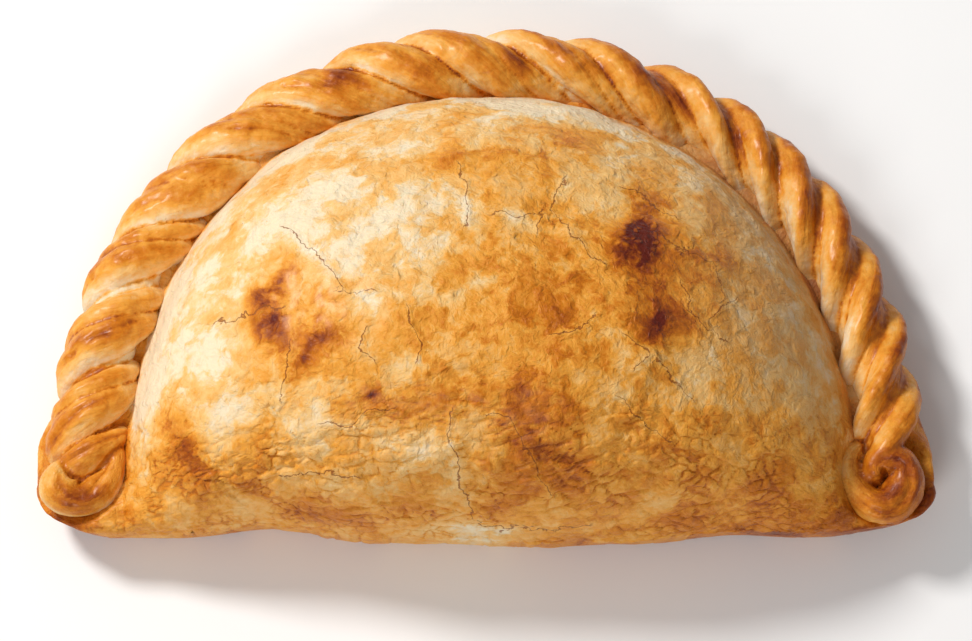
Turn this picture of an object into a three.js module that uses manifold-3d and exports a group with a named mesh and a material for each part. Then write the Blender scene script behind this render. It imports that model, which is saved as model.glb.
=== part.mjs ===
// A baked empanada lying on its flat side: a half-moon pocket of pastry, plump over its filling,
// folded along the straight front edge and sealed round the curved back by a rope of rolled folds
// that ends in a tucked curl at each front corner.
// Millimetres, +Z up, +X to the right, +Y to the back. It is one piece of dough, so it is one solid.
import * as THREE from "three";
import { mergeVertices } from "three/addons/utils/BufferGeometryUtils.js";
import Module from "manifold-3d";

// ---------- driving dimensions ----------
const HEIGHT = 38; // tray to the crown of the pocket
const ROPE_HEIGHT = 6.5; // middle line of the rope above the tray
const CORE_RADIUS = 4.4; // the rope under its folds
const FOLD_ADVANCE_START = 12.5; // how far a fold runs along the rim while it crosses the rope
const FOLD_ADVANCE_REST = 20.5;
const PLUMP_START = 0.14; // the rope's left end is thicker by this share
const FIRST_FOLD = 3.5; // from the left corner to the first fold
const LAST_GAP = 9; // room for the last fold
const END_ROOM = 2.4; // how far a fold may run on past either end of the rope
const SHINGLE_TILT = 13; // degrees: each fold's left edge lies over the fold before it
const SEAM_FILLET = 4.5; // how softly the pocket leaves the pressed dough
const SEAM_HEIGHT = 6; // level at which the dough is widest at the back
const SHEET_HALF_WIDTH = 65.2; // the dough under the rope, which shows at the two corners
const SHEET_REACH = 65.5;
const DRAWN_IN = 0.045; // share by which it draws in behind the corners
const PRESSED_HEIGHT = 8; // two sheets pressed together
const CORNER_HEIGHT = 10.6; // more of it is tucked in at the corners
const EDGE_ROUND = 6;
const CURL_HEIGHT = 10; // middle line of a curl where it starts, above the tray
const FRONT_REACH = 9.9; // from the corners forward to the folded edge
const FRONT_FULLNESS = 4.2;
const FRONT_HEIGHT = 9; // level at which it is widest at the folded edge
const FRONT_ROUND = 28; // over this depth the folded edge rounds up to the crown
const CROWN_BACK = 11; // the crown stands this far behind the corners
const BELLY_DIP = 1.2; // the belly sinks this far under the tray's level, where it is cut flat
const FLATTENING = 0.05; // facets may leave the true surface by this much

// Outlines about the middle of the line between the corners: how far each goes to the left, to the
// right and back, and the power of its curve on either side, where 2 is an ellipse and more is squarer.
const RIM = { left: 57.3, right: 58, reach: 61.5, fullness: [2.13, 2.15] }; // middle line of the rope
const SEAM = { left: 52.2, right: 53.6, reach: 57.2, fullness: [2.16, 2.08] }; // where the pocket meets it
const SHEET = { left: SHEET_HALF_WIDTH, right: SHEET_HALF_WIDTH, reach: SHEET_REACH, fullness: [2.1, 2.15] };

// Where the folded edge sways: the place, how wide, and how far forward.
const FRONT_SWAYS = [
  [-57, 6, 0.8],
  [-32, 9.5, -2],
  [9, 9, 0.6],
  [37, 8, -1],
];

// Rolls over the rope: the middle line's distance from the rope's, half depth, half width as a share
// of the gap to the next fold, and how far the roll lags behind its fold as a share of that gap.
const FOLD = { orbit: 3.4, deep: 3.2, share: 0.3, lag: 0 };
const TUCK = { orbit: 1.9, deep: 2.4, share: 0.27, lag: 0.55 };

// Gaps between the folds as they follow each other from the left corner to the right one.
const FOLD_GAPS = [
  7.2, 11.5, 12.9, 11.4, 13.8, 12.7, 12.3, 10.7, 13.2, 9.8, 12.4, 8.9, 8.7, 9.5, 9.7, 10.2, 9.5,
];

// The rope's two ends. side is -1 on the left and 1 on the right; a curl winds from its outer
// radius in to its middle, the later the higher its tightening, and thickness is the roll's half
// width at its start and at its end.
const CURLS = [
  { side: -1, out: 59.9, back: 0, radius: 6.3, turn: 240, tightening: 2, thickness: [2, 4] },
  { side: 1, out: 57.6, back: -0.8, radius: 5.6, turn: 460, tightening: 1.2, thickness: [2.8, 2.4] },
];

// Facets: sides round a section, and rings along it or over the pocket.
const POCKET_SIDES = 96;
const POCKET_RINGS = 44;
const ROPE_SIDES = 10;
const ROPE_RINGS = 70;
const FOLD_SIDES = 14;
const FOLD_RINGS = 16;
const CURL_RINGS = 28;

const { cos, sin, abs, sign, max, PI } = Math;
const { lerp, clamp, smoothstep, degToRad } = THREE.MathUtils;
const wasm = await Module();
wasm.setup();

// The same small irregularities each time.
function handOf(seed) {
  const random = () => {
    seed = (seed * 16807) % 2147483647;
    return seed / 2147483647;
  };
  return (spread) => (random() * 2 - 1) * spread;
}

// ---------- outline seen from above ----------
function archDepth(x, halfWidth, reach, fullness) {
  return reach * max(0, 1 - abs(x / halfWidth) ** fullness) ** (1 / fullness);
}

// Half width and power of an outline at x; they pass over smoothly from left to right.
function sideOf(outline, x) {
  const share = smoothstep(x, -30, 30);
  return [lerp(outline.left, outline.right, share), lerp(...outline.fullness, share)];
}

function backOf(outline, x) {
  const [halfWidth, fullness] = sideOf(outline, x);
  return archDepth(x, halfWidth, outline.reach, fullness);
}

// The rope's middle line, from the left corner round the back to the right corner.
class RimLine extends THREE.Curve {
  getPoint(t, target = new THREE.Vector3()) {
    const overrun = 0.02; // how far each end carries on in front of the corners
    const angle = lerp(PI + overrun, -overrun, t);
    const x = cos(angle) * (cos(angle) < 0 ? RIM.left : RIM.right);
    const y = sign(sin(angle)) * backOf(RIM, x);
    const lift = 0.5 * sin(5 * angle) + 0.3 * sin(11 * angle + 1);
    return target.set(x, y, ROPE_HEIGHT + lift);
  }
}

const rim = new RimLine();
rim.arcLengthDivisions = 400;
const rimLength = rim.getLength();

// Place on the rope at a distance along it, and the way out from the pocket there. What would run
// on past the rope's ends is squeezed up in the corners.
function rimFrame(distance) {
  const share = clamp(distance / rimLength, 0, 1);
  const middle = rim.getPointAt(share);
  const run = rim.getTangentAt(share).setZ(0).normalize();
  const past = distance - share * rimLength;
  middle.addScaledVector(run, END_ROOM * Math.tanh(past / END_ROOM));
  return { middle, out: new THREE.Vector3(-run.y, run.x, 0) };
}

// ---------- shapes ----------
// A closed solid from a three.js geometry.
function solidOf(geometry) {
  const bare = geometry.index ? geometry.toNonIndexed() : geometry.clone();
  bare.deleteAttribute("normal");
  bare.deleteAttribute("uv");
  const merged = mergeVertices(bare, 1e-4);
  return new wasm.Manifold(
    new wasm.Mesh({
      numProp: 3,
      vertProperties: merged.attributes.position.array,
      triVerts: new Uint32Array(merged.index.array),
    }),
  );
}

// A sphere whose every vertex is moved by place(point, longitude, latitude).
function mappedSphere(sides, rings, place) {
  const sphere = new THREE.SphereGeometry(1, sides, rings);
  const position = sphere.attributes.position;
  const p = new THREE.Vector3();
  for (let i = 0; i < position.count; i++) {
    p.fromBufferAttribute(position, i);
    const latitude = Math.asin(clamp(p.y, -1, 1));
    place(p, Math.atan2(-p.z, p.x), latitude);
    position.setXYZ(i, p.x, p.y, p.z);
  }
  return solidOf(sphere);
}

// A roll of dough with round ends. at(u) gives its middle and the direction its section is measured
// from, section(u) its half width and half depth, for u from 0 to 1, and tilt leans the section over.
function roll(sides, rings, at, section, tilt = 0) {
  const step = 1e-3;
  return mappedSphere(sides, rings, (p, longitude, latitude) => {
    const u = latitude / PI + 0.5;
    const { middle, up } = at(u);
    const along = at(u + step).middle.sub(at(u - step).middle).normalize();
    const across = new THREE.Vector3().crossVectors(along, up).normalize();
    const depthward = new THREE.Vector3().crossVectors(across, along);
    [across, depthward].forEach((side) => side.applyAxisAngle(along, -tilt));
    const end = Math.sqrt(max(0, 1 - abs(2 * u - 1) ** 3));
    const [halfWidth, halfDepth] = section(u);
    p.copy(middle)
      .addScaledVector(depthward, cos(longitude) * halfDepth * end)
      .addScaledVector(across, sin(longitude) * halfWidth * end);
  });
}

// ---------- the pocket over the filling, and the pressed dough round it ----------
function foldedEdge(x) {
  const forward = archDepth(x, SHEET_HALF_WIDTH, FRONT_REACH, FRONT_FULLNESS);
  const sway = FRONT_SWAYS.reduce((sum, [at, wide, by]) => sum + by * Math.exp(-(((x - at) / wide) ** 2)), 0);
  return -forward * (1 + sway / FRONT_REACH);
}

// The dough's outline at a longitude about the crown: 0 is the right corner and PI / 2 the back.
// It is drawn in under the rope, and stands out at the corners.
function sheetEdge(longitude) {
  const x = SHEET_HALF_WIDTH * cos(longitude);
  if (sin(longitude) < 0) return [x, foldedEdge(x)];
  const y = backOf(SHEET, x);
  return [x * (1 - DRAWN_IN * smoothstep(y, 3, 14)), y];
}

// The level at which the dough is widest.
function outlineLevel(y) {
  return lerp(SEAM_HEIGHT, FRONT_HEIGHT, smoothstep(-y, -9, 7));
}

// From 0 at an edge to 1 once a rounding of this radius is past.
function rounding(distance, radius, power = 2) {
  return (1 - (1 - clamp(distance / radius, 0, 1)) ** power) ** (1 / power);
}

// How far the pocket has risen, from 0 at its outline to about 1 at the crown: steep and round
// behind the folded edge, and easing down to the seam at the sides and the back.
function rise(x, y) {
  const [halfWidth, fullness] = sideOf(SEAM, x);
  const outward = abs(x / halfWidth) ** fullness + max(y / SEAM.reach, 0) ** fullness;
  const overSeam = max(0, 1 - outward ** 1.3) ** 0.62;
  return rounding(y - foldedEdge(x), FRONT_ROUND, 2.3) * overSeam;
}

// Gentle swells where the filling pushes up and hollows between them.
function unevenness(x, y) {
  const swell = 0.9 * Math.exp(-(((x + 30) / 11) ** 2) - ((y - 31) / 9) ** 2);
  return swell + 0.35 * sin(0.12 * x + 0.9) * sin(0.15 * y + 0.5) + 0.2 * sin(0.21 * x - 0.13 * y);
}

// The larger of two heights, with the corner between them filled out.
function blendedMax(a, b, fillet) {
  const share = clamp(0.5 + (0.5 * (b - a)) / fillet, 0, 1);
  return lerp(a, b, share) + fillet * share * (1 - share);
}

function pocket() {
  const crownRise = rise(0, CROWN_BACK);
  return mappedSphere(POCKET_SIDES, POCKET_RINGS, (p, longitude, latitude) => {
    const [x, y] = sheetEdge(longitude);
    const share = cos(latitude);
    p.set(share * x, lerp(CROWN_BACK, y, share), 0);
    const level = outlineLevel(p.y);
    if (latitude >= 0) {
      const fromEdge = (1 - share) * Math.hypot(x, y - CROWN_BACK);
      const soft = rounding(fromEdge, EDGE_ROUND);
      const pressedTop = lerp(PRESSED_HEIGHT, CORNER_HEIGHT, smoothstep(-p.y, -18, -3));
      const pressed = level + (pressedTop - level) * soft * rounding(p.y - foldedEdge(p.x), EDGE_ROUND);
      const risen = level + ((HEIGHT - level) * rise(p.x, p.y)) / crownRise + soft * unevenness(p.x, p.y);
      p.z = blendedMax(pressed, risen, max(SEAM_FILLET * soft, 0.01));
    } else {
      p.z = level - (level + BELLY_DIP) * Math.sqrt(1 - share ** 10);
    }
  });
}

// ---------- the rope ----------
function core() {
  const at = (u) => ({ middle: rimFrame(u * rimLength).middle, up: new THREE.Vector3(0, 0, 1) });
  return roll(ROPE_SIDES, ROPE_RINGS, at, () => [CORE_RADIUS, CORE_RADIUS]);
}

// One fold rolls over the rope from under its outer side to the seam, moving on along the rim.
function fold(distance, gap, { orbit, deep, share, lag }, hand) {
  const advance = lerp(FOLD_ADVANCE_START, FOLD_ADVANCE_REST, smoothstep(distance, 25, 65)) + hand(1.5);
  const plump = 1 + PLUMP_START * (1 - smoothstep(distance, -10, 65));
  const halfWidth = share * gap * plump * (1 + hand(0.08));
  const halfDepth = deep * plump * (1 + hand(0.05));
  const from = -55 + hand(6); // degrees round the rope: 0 is its outer side and 90 its top
  const to = 214 + hand(6);
  const at = (u) => {
    const round = degToRad(lerp(from, to, u));
    const { middle, out } = rimFrame(distance + lag * gap + advance * (round / PI - 0.5));
    const up = out.multiplyScalar(cos(round)).setZ(sin(round));
    return { middle: middle.addScaledVector(up, orbit * plump), up };
  };
  const spindle = (u) => 0.56 + 0.49 * sin(PI * clamp(u, 0, 1) ** 0.85);
  const section = (u) => [halfWidth * spindle(u), halfDepth * (0.4 + 0.6 * spindle(u))];
  return roll(FOLD_SIDES, FOLD_RINGS, at, section, degToRad(SHINGLE_TILT));
}

function folds() {
  const hand = handOf(2311);
  const made = [];
  let distance = FIRST_FOLD;
  for (const gap of [...FOLD_GAPS, LAST_GAP]) {
    made.push(fold(distance, gap, FOLD, hand), fold(distance, gap, TUCK, hand));
    distance += gap;
  }
  return made;
}

// ---------- the corners ----------
// The end of the rope winds in on top of the pressed dough.
function curl({ side, out, back, radius, turn, tightening, thickness }) {
  const start = 120; // degrees from straight out, where the curl leaves the rope
  const at = (u) => {
    const angle = degToRad(start + turn * u);
    const winding = lerp(radius, 0.5, max(u, 0) ** tightening);
    const middle = new THREE.Vector3(
      side * (out + winding * cos(angle)),
      back + winding * sin(angle),
      CURL_HEIGHT + u,
    );
    return { middle, up: new THREE.Vector3(0, 0, 1) };
  };
  const radiusAt = (u) => lerp(...thickness, max(u, 0) ** tightening);
  return roll(FOLD_SIDES, CURL_RINGS, at, (u) => [radiusAt(u), radiusAt(u)]);
}

// A slab that takes away all that hangs under the tray's level, which leaves a flat base.
function tray() {
  const deep = 20;
  const wide = 4 * RIM.reach;
  return solidOf(new THREE.BoxGeometry(wide, wide, deep).translate(0, 0, -deep / 2));
}

// ---------- assembly ----------
const dough = [pocket(), core(), ...folds(), ...CURLS.map(curl)].reduce((whole, piece) => whole.add(piece));

// Only the outer skin is kept, so no pocket of air stays sealed between the strands.
const skins = dough.subtract(tray()).simplify(FLATTENING).decompose();
const outer = skins.reduce((largest, skin) => (skin.volume() > largest.volume() ? skin : largest));
const baked = outer.getMesh();

const crust = new THREE.BufferGeometry();
crust.setAttribute("position", new THREE.BufferAttribute(new Float32Array(baked.vertProperties), 3));
crust.setIndex(new THREE.BufferAttribute(new Uint32Array(baked.triVerts), 1));

// The origin is on the tray, under the middle of the bounding box.
crust.computeBoundingBox();
const middle = crust.boundingBox.getCenter(new THREE.Vector3());
crust.translate(-middle.x, -middle.y, -crust.boundingBox.min.z);
crust.computeVertexNormals();

const golden = new THREE.MeshStandardMaterial({ color: 0xdea45c, roughness: 0.5, metalness: 0 });
const empanada = new THREE.Mesh(crust, golden);
empanada.name = "empanada";

const model = new THREE.Group();
model.add(empanada);
export default model;
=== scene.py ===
"""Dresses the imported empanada: the baked pocket, the rope of rolled folds round it, and a studio.

The outlines, the heights and the spacing of the folds are the solid's. Places are in millimetres from
the middle of the line between the two front corners: +X to the right, +Y to the back, +Z up from the
tray.
"""

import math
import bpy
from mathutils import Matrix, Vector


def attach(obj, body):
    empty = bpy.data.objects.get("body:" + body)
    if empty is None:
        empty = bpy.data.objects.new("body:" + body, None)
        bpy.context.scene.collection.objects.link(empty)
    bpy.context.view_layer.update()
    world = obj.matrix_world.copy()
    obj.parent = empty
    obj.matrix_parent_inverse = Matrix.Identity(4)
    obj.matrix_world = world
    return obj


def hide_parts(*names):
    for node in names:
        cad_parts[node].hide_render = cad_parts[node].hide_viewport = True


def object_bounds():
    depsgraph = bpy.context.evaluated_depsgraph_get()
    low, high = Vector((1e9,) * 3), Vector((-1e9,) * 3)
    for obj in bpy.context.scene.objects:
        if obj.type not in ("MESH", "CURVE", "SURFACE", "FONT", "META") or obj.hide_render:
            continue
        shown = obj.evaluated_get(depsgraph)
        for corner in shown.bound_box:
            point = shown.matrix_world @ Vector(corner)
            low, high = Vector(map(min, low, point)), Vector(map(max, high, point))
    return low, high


bl_info = {
    "name": "Baked empanada",
    "version": (1, 0, 0),
    "blender": (4, 5, 0),
    "location": "3D View > Sidebar > Empanada",
    "description": "Builds a baked empanada with a rope-crimped rim, and the studio round it",
    "category": "Object",
}

import bpy
import numpy as np
from mathutils import Vector, kdtree, noise

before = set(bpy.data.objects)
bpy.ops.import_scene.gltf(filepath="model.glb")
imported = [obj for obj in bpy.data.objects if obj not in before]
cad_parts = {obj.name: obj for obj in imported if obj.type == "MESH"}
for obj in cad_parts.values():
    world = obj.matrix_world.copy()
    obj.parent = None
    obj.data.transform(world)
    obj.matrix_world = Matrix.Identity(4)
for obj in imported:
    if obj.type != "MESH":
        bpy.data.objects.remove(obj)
CAD_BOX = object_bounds()
MM = 0.001

# ---------- form, in millimetres ----------
HEIGHT = 38.0  # tray to the crown of the pocket
CROWN_BACK = 11.0  # the crown, back from the corner line
SEAM_HEIGHT = 6.0  # of the dough's widest outline under the rope
SEAM_FILLET = 4.5
FRONT_REACH = 9.9  # from the corners forward to the folded edge
FRONT_FULLNESS = 4.2  # power of the folded edge's curve, where more is squarer
FRONT_HEIGHT = 9.0  # of the widest outline at the folded edge
FRONT_ROUND = 28.0  # how far back the rise from the folded edge takes
# place along the folded edge, how wide, and how far it sways forward there
FRONT_SWAYS = ((-57.0, 6.0, 0.8), (-32.0, 9.5, -2.0), (9.0, 9.0, 0.6), (37.0, 8.0, -1.0))
BELLY_DIP = 1.2  # how far below the tray the belly's curve aims, which flattens the base
# places of the rings between the outline and the middle of the base, as shares of the way out
UNDER_RINGS = (0.985, 0.965, 0.94, 0.91, 0.88, 0.84, 0.6, 0.3)
SHEET_HALF_WIDTH = 65.2  # the pressed dough under the rope
DRAWN_IN = 0.045  # the share by which that dough is narrower at the back
PRESSED_HEIGHT = 8.0  # top of that dough at the back
CORNER_HEIGHT = 10.6  # and at the front corners
EDGE_ROUND = 6.0
ROPE_HEIGHT = 6.5  # middle line of the rope
CORE_RADIUS = 4.2  # the rope under its folds
FIRST_FOLD = 3.5  # from the left corner to the first fold
LAST_GAP = 9.0  # from the last fold to the right corner
END_ROOM = 2.4  # how far a fold may run on past either end of the rope
FOLD_ADVANCE = (12.5, 20.5)  # how far a fold runs along the rim as it crosses the rope: left end, rest
FOLD_TURN = (-55, 214)  # degrees round the rope where a fold starts, under its outer side, and ends
PLUMP_START = 0.14  # the rope's left end is thicker by this share
SLIM_END = 0.20  # and the folds towards its right end are slimmer by this share
SHINGLE_TILT = math.radians(13)  # each fold's left edge lies over the fold before it
CREASE_DEPTH = 0.55  # of the crease along a fold
ROLLED_RADIUS = 6.0  # of the rope with its folds, where the grain runs round it
CURL_HEIGHT = 10.0
CURL_START = 120  # degrees round its middle where a curl leaves the last fold
SUNK_UNDER_CURL = 2.0  # how far the dough gives way under each curl
FORM_MIDDLE = (0.0, 28.5)  # middle of the form's box, as its outline and the rope's outer folds give it

# Outlines about the middle of the line between the corners: reach to the left, to the right and back,
# and the power of the curve on either side, where 2 is an ellipse and more is squarer.
RIM = (57.3, 58.0, 61.5, 2.13, 2.15)  # middle line of the rope
SEAM = (52.2, 53.6, 57.2, 2.16, 2.08)  # where the pocket meets the rope
SHEET = (SHEET_HALF_WIDTH, SHEET_HALF_WIDTH, 65.5, 2.1, 2.15)

# Gaps between the folds, from the left corner to the right one.
FOLD_GAPS = (
    7.2, 11.5, 12.9, 11.4, 13.8, 12.7, 12.3, 10.7, 13.2, 9.8, 12.4, 8.9, 8.7, 9.5, 9.7, 10.2, 9.5,
)

# Rolls laid over the rope, by kind: its number, the distance of its middle line from the rope's,
# half depth, half width as a share of the gap to the next fold, and its lag as a share of that gap.
# A fold that shows a second crease along its back is two narrower rolls.
CORE, FOLD, LIP, TUCK, CURL = range(5)
WHOLE_FOLD = (FOLD, 3.4, 3.2, 0.27, 0.0)
SPLIT_FOLD = (FOLD, 3.5, 3.1, 0.23, -0.06)
LOWER_LIP = (LIP, 3.3, 2.8, 0.17, 0.24)
UNDER_TUCK = (TUCK, 1.8, 2.2, 0.24, 0.57)
FULL_TUCK = (TUCK, 2.1, 2.35, 0.25, 0.57)  # on the right, where the valleys between the folds are wide
FULL_TUCK_FROM = 105.0  # distance along the rope
SPLIT_FOLDS = (1, 2, 3, 4, 5, 6, 8, 9)  # counted from the left, from 0

# The curl at either corner: side, place out and back, radius, turn in degrees, how late it tightens,
# and its half width at its start and at its end.
CURLS = ((-1, 59.9, 0.0, 6.3, 240, 2.0, 2.0, 4.0), (1, 57.6, -0.8, 5.6, 460, 1.2, 2.8, 2.4))

# Relief that lies on the form: size of its features and how high they stand.
POCKET_SWELLS = (9.0, 1.3)
POCKET_LUMPS = (3.2, 0.40)
FLAKES = (2.4, 0.36)
ROPE_SWELLS = (4.0, 0.7)
ROPE_LUMPS = (1.6, 0.22)

# ---------- browning, seen from the front at a steep angle ----------
# Places are in millimetres to the right of the middle and up from the corner line, in the tilted
# plane that VIEW_TILT gives.
VIEW_TILT = math.radians(75)

# right, up, half length, half width, lean in degrees, how much darker
SCORCHES = (
    (-29.8, 27.6, 4.4, 1.5, 48, 0.42), (-30.2, 21.9, 3.8, 1.8, -64, 0.40),
    (-24.3, 19.0, 4.6, 1.3, 33, 0.30), (-28.0, 21.5, 7.5, 6.8, 0, 0.28),
    (22.2, 34.2, 4.2, 3.1, 85, 0.48), (22.2, 34.6, 7.2, 6.2, 80, 0.26),
    (22.0, 40.6, 2.2, 3.0, 0, 0.10), (23.9, 21.8, 1.5, 0.8, 75, 0.32),
    (23.6, 22.0, 4.6, 3.8, 0, 0.22), (0.3, 38.4, 4.6, 1.9, 100, 0.24),
    (9.0, 38.2, 2.8, 2.4, 0, 0.24), (-15.5, 11.9, 1.1, 0.9, 0, 0.40),
    (9.3, 7.2, 12.0, 7.5, 10, 0.30), (-11.6, 10.8, 8.0, 4.2, 0, 0.24),
    (8.0, 27.0, 14.0, 11.0, 0, 0.14), (27.0, 29.0, 10.0, 10.0, 0, 0.20),
    (33.0, 5.0, 15.0, 8.0, 10, 0.08), (-42.9, 5.0, 6.0, 2.4, -60, 0.26),
    (-34.0, 3.5, 9.0, 5.0, 0, 0.08), (45.5, -5.8, 10.0, 3.4, 10, 0.15),
    (-52.0, -5.5, 7.0, 3.0, 0, 0.16), (56.0, -5.0, 7.0, 4.0, 0, 0.14),
    (48.4, 26.0, 4.5, 1.8, 110, 0.10),
)
GOLDEN = (
    (-1.0, 48.0, 12.0, 5.0, 0, 0.20), (11.0, 45.0, 8.0, 5.0, 0, 0.16),
    (-36.4, 36.0, 6.5, 1.7, 80, 0.18), (-30.6, 42.6, 6.5, 1.5, 27, 0.18),
    (-22.0, 45.0, 6.0, 1.5, 10, 0.14), (-44.5, 8.0, 6.0, 3.6, 60, 0.20),
    (30.0, 31.5, 3.5, 3.0, 0, 0.12), (-28.0, 13.5, 6.5, 4.0, 0, 0.12),
    (27.0, 23.0, 7.0, 5.0, 60, 0.10), (2.0, 21.0, 18.0, 11.0, 0, 0.28),
    (8.0, 35.0, 9.0, 6.0, 0, 0.06), (3.5, 13.0, 8.0, 5.0, 0, 0.14),
    (-20.0, -5.5, 18.0, 3.0, 4, 0.12), (22.0, -7.0, 10.0, 2.0, -4, 0.12),
)
BURNT_TIPS = (
    (-20.5, 58.7, 3.6, 1.6, -10, 0.34), (-6.7, 60.2, 3.0, 1.7, -30, 0.30),
    (17.3, 59.5, 3.4, 1.7, -50, 0.32), (4.9, 60.9, 3.2, 1.5, -50, 0.26),
    (-58.4, 0.6, 1.3, 2.6, 0, 0.14), (57.5, -1.5, 5.5, 4.5, 0, 0.06),
)

# the same for patches that are paler, and for patches of painted grey shade on the right, which faces away
# from the light
PALE = (
    (-47.5, 17.0, 15.0, 4.0, 82, 0.12), (-27.0, 37.0, 9.0, 7.0, 20, 0.08),
    (-27.0, 9.5, 9.0, 3.5, 0, 0.06), (-13.0, 32.0, 8.0, 7.0, 0, 0.05),
    (5.0, 53.6, 10.0, 2.2, 0, 0.18), (-38.0, 27.0, 6.0, 9.0, -30, 0.07),
    (-1.0, -8.6, 9.0, 1.3, 0, 0.26), (-4.5, 4.0, 1.3, 9.0, 0, 0.10),
    (21.0, 9.0, 5.0, 8.0, 0, 0.10), (-14.0, 4.0, 8.0, 5.0, 0, 0.09),
    (3.5, 31.0, 5.0, 4.0, 0, 0.06),
)
GREY_SHADE_PATCHES = ((41.0, 23.0, 14.0, 10.0, -60, 0.38), (36.0, 41.0, 13.0, 4.0, -48, 0.34))

# Cracks, as short runs of places in the same plane.
CRACKS = (
    ((-4.8, 9.4), (-5.2, 6.8), (-3.5, 1.9), (-3.9, -1.0), (-2.2, -3.0), (-2.2, -5.9)),
    ((0.9, 9.3), (3.3, 8.7), (4.4, 6.8), (6.1, 4.4), (8.0, 0.4), (9.1, -1.6)),
    ((-22.6, 7.8), (-18.9, 8.0), (-16.8, 10.0), (-13.8, 10.2)),
    ((-28.4, 0.6), (-23.0, 0.9), (-19.0, 0.3)),
    ((11.2, 42.3), (8.6, 38.4), (7.4, 36.1)),
    ((1.9, 37.8), (8.6, 38.4), (11.9, 36.5), (12.3, 34.7), (16.1, 31.0)),
    ((25.2, 34.7), (27.1, 32.8), (29.7, 32.3), (32.3, 30.9), (33.9, 26.2)),
    ((28.0, 27.8), (29.3, 24.4), (31.3, 21.8), (33.5, 20.2)),
    ((31.3, 21.8), (33.2, 24.1), (35.1, 25.5)),
    ((20.3, 20.2), (23.6, 18.1), (25.2, 16.8), (26.0, 14.2), (28.6, 11.9)),
    ((23.6, 18.1), (21.5, 16.4)),
    ((19.0, 11.3), (21.6, 9.3), (25.4, 5.9)),
    ((-38.0, 22.2), (-33.2, 23.8), (-29.6, 24.5)),
    ((-28.3, 35.8), (-24.8, 32.3), (-22.8, 31.3), (-20.4, 27.8)),
    ((-20.4, 26.8), (-16.7, 26.7)),
    ((-28.0, 19.0), (-29.0, 15.1), (-28.7, 12.2)),
    ((-11.0, 23.9), (-10.6, 21.9), (-9.1, 19.7), (-9.4, 17.7)),
    ((-17.3, 20.9), (-17.7, 19.0), (-16.4, 17.4)),
    ((10.0, 21.0), (13.8, 21.8), (14.9, 22.9)),
    ((-3.8, 44.5), (-2.5, 41.0), (-2.8, 37.1)),
    ((20.3, 41.5), (24.8, 38.9), (26.7, 37.7)),
    ((-2.2, -5.9), (2.5, -7.0), (9.0, -7.2), (14.0, -6.6)),
)

DARKEST_BROWNING_AND_SHADE = 0.70  # share of the way from cream to burnt, away from the placed scorches
BROWNING_STEPS = (0.05, 0.24, 0.44, 0.62, 0.80, 0.98)  # of that way, one for each colour of the crust

# ---------- how finely it is made ----------
GRID_SIDE = 300  # quads along each side of the pocket's grid
FLAKED_AREA = 13000  # square millimetres, top and bottom of the pocket
ROPE_VOXEL = 0.34  # millimetres
FOLD_SEED = 2311
LIP_SEED = 907
FLAKE_SEED = 11
WANDER_SEED = 7  # without it Blender's noise would start from the clock and differ each run


# ---------- sizes and colours a user would change ----------
class EmpanadaSizes(bpy.types.PropertyGroup):
    camera_distance: bpy.props.FloatProperty(
        name="Camera distance", description="From the camera to the pocket", default=0.9, unit="LENGTH"
    )
    camera_tilt: bpy.props.FloatProperty(
        name="Camera tilt", description="Angle above the table", default=VIEW_TILT, unit="ROTATION"
    )
    view_width: bpy.props.FloatProperty(
        name="View width", description="Width seen at the pocket", default=0.141, unit="LENGTH"
    )
    floor_width: bpy.props.FloatProperty(
        name="Floor width", description="Side of the square floor", default=6.0, unit="LENGTH"
    )


def colour_property(name, description, default):
    return bpy.props.FloatVectorProperty(
        name=name, description=description, subtype="COLOR", size=3, default=default
    )


class EmpanadaColours(bpy.types.PropertyGroup):
    cream: colour_property("Cream", "Palest dough", (0.85, 0.70, 0.475))
    pale_gold: colour_property("Pale gold", "Lightly baked dough", (0.85, 0.51, 0.18))
    gold: colour_property("Gold", "Golden crust", (0.80, 0.34, 0.042))
    orange: colour_property("Orange brown", "Well baked crust", (0.60, 0.18, 0.008))
    brown: colour_property("Brown", "Dark crust", (0.33, 0.068, 0.003))
    burnt: colour_property("Burnt", "Scorched crust", (0.115, 0.010, 0.004))
    # painted grey shade for the right side, which faces away from the light
    grey_shade: colour_property("Ash", "Dull grey-brown shade on the right", (0.36, 0.18, 0.082))
    crack: colour_property("Crack", "Inside of a crack", (0.26, 0.065, 0.010))
    floor: colour_property("Floor", "Pale floor", (0.95, 0.947, 0.945))


# ---------- small sums ----------
def smoothstep(x, low, high):
    share = np.clip((x - low) / (high - low), 0, 1)
    return share * share * (3 - 2 * share)


def mixed(a, b, share):
    return a + (b - a) * share


def hand_of(seed):
    """A maker of small irregularities that come out the same each run, as in the solid."""
    state = [seed]

    def hand(spread):
        state[0] = state[0] * 16807 % 2147483647
        return (state[0] / 2147483647 * 2 - 1) * spread

    return hand


def length_of(vectors):
    return np.linalg.norm(vectors, axis=-1, keepdims=True)


def tree_of(points):
    """Finds the nearest of these points to any place."""
    tree = kdtree.KDTree(len(points))
    for i, place in enumerate(points):
        tree.insert(place, i)
    tree.balance()
    return tree


# ---------- outline ----------
def arch_depth(x, half_width, reach, fullness):
    """How far an arch of this half width reaches at x."""
    inside = np.maximum(0, 1 - np.abs(x / half_width) ** fullness)
    return reach * inside ** (1 / fullness)


def side_of(outline, x):
    """Half width and power of an outline at x, which pass over smoothly from left to right."""
    left, right, _, left_fullness, right_fullness = outline
    share = smoothstep(x, -30, 30)
    return mixed(left, right, share), mixed(left_fullness, right_fullness, share)


def back_of(outline, x):
    half_width, fullness = side_of(outline, x)
    return arch_depth(x, half_width, outline[2], fullness)


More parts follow.
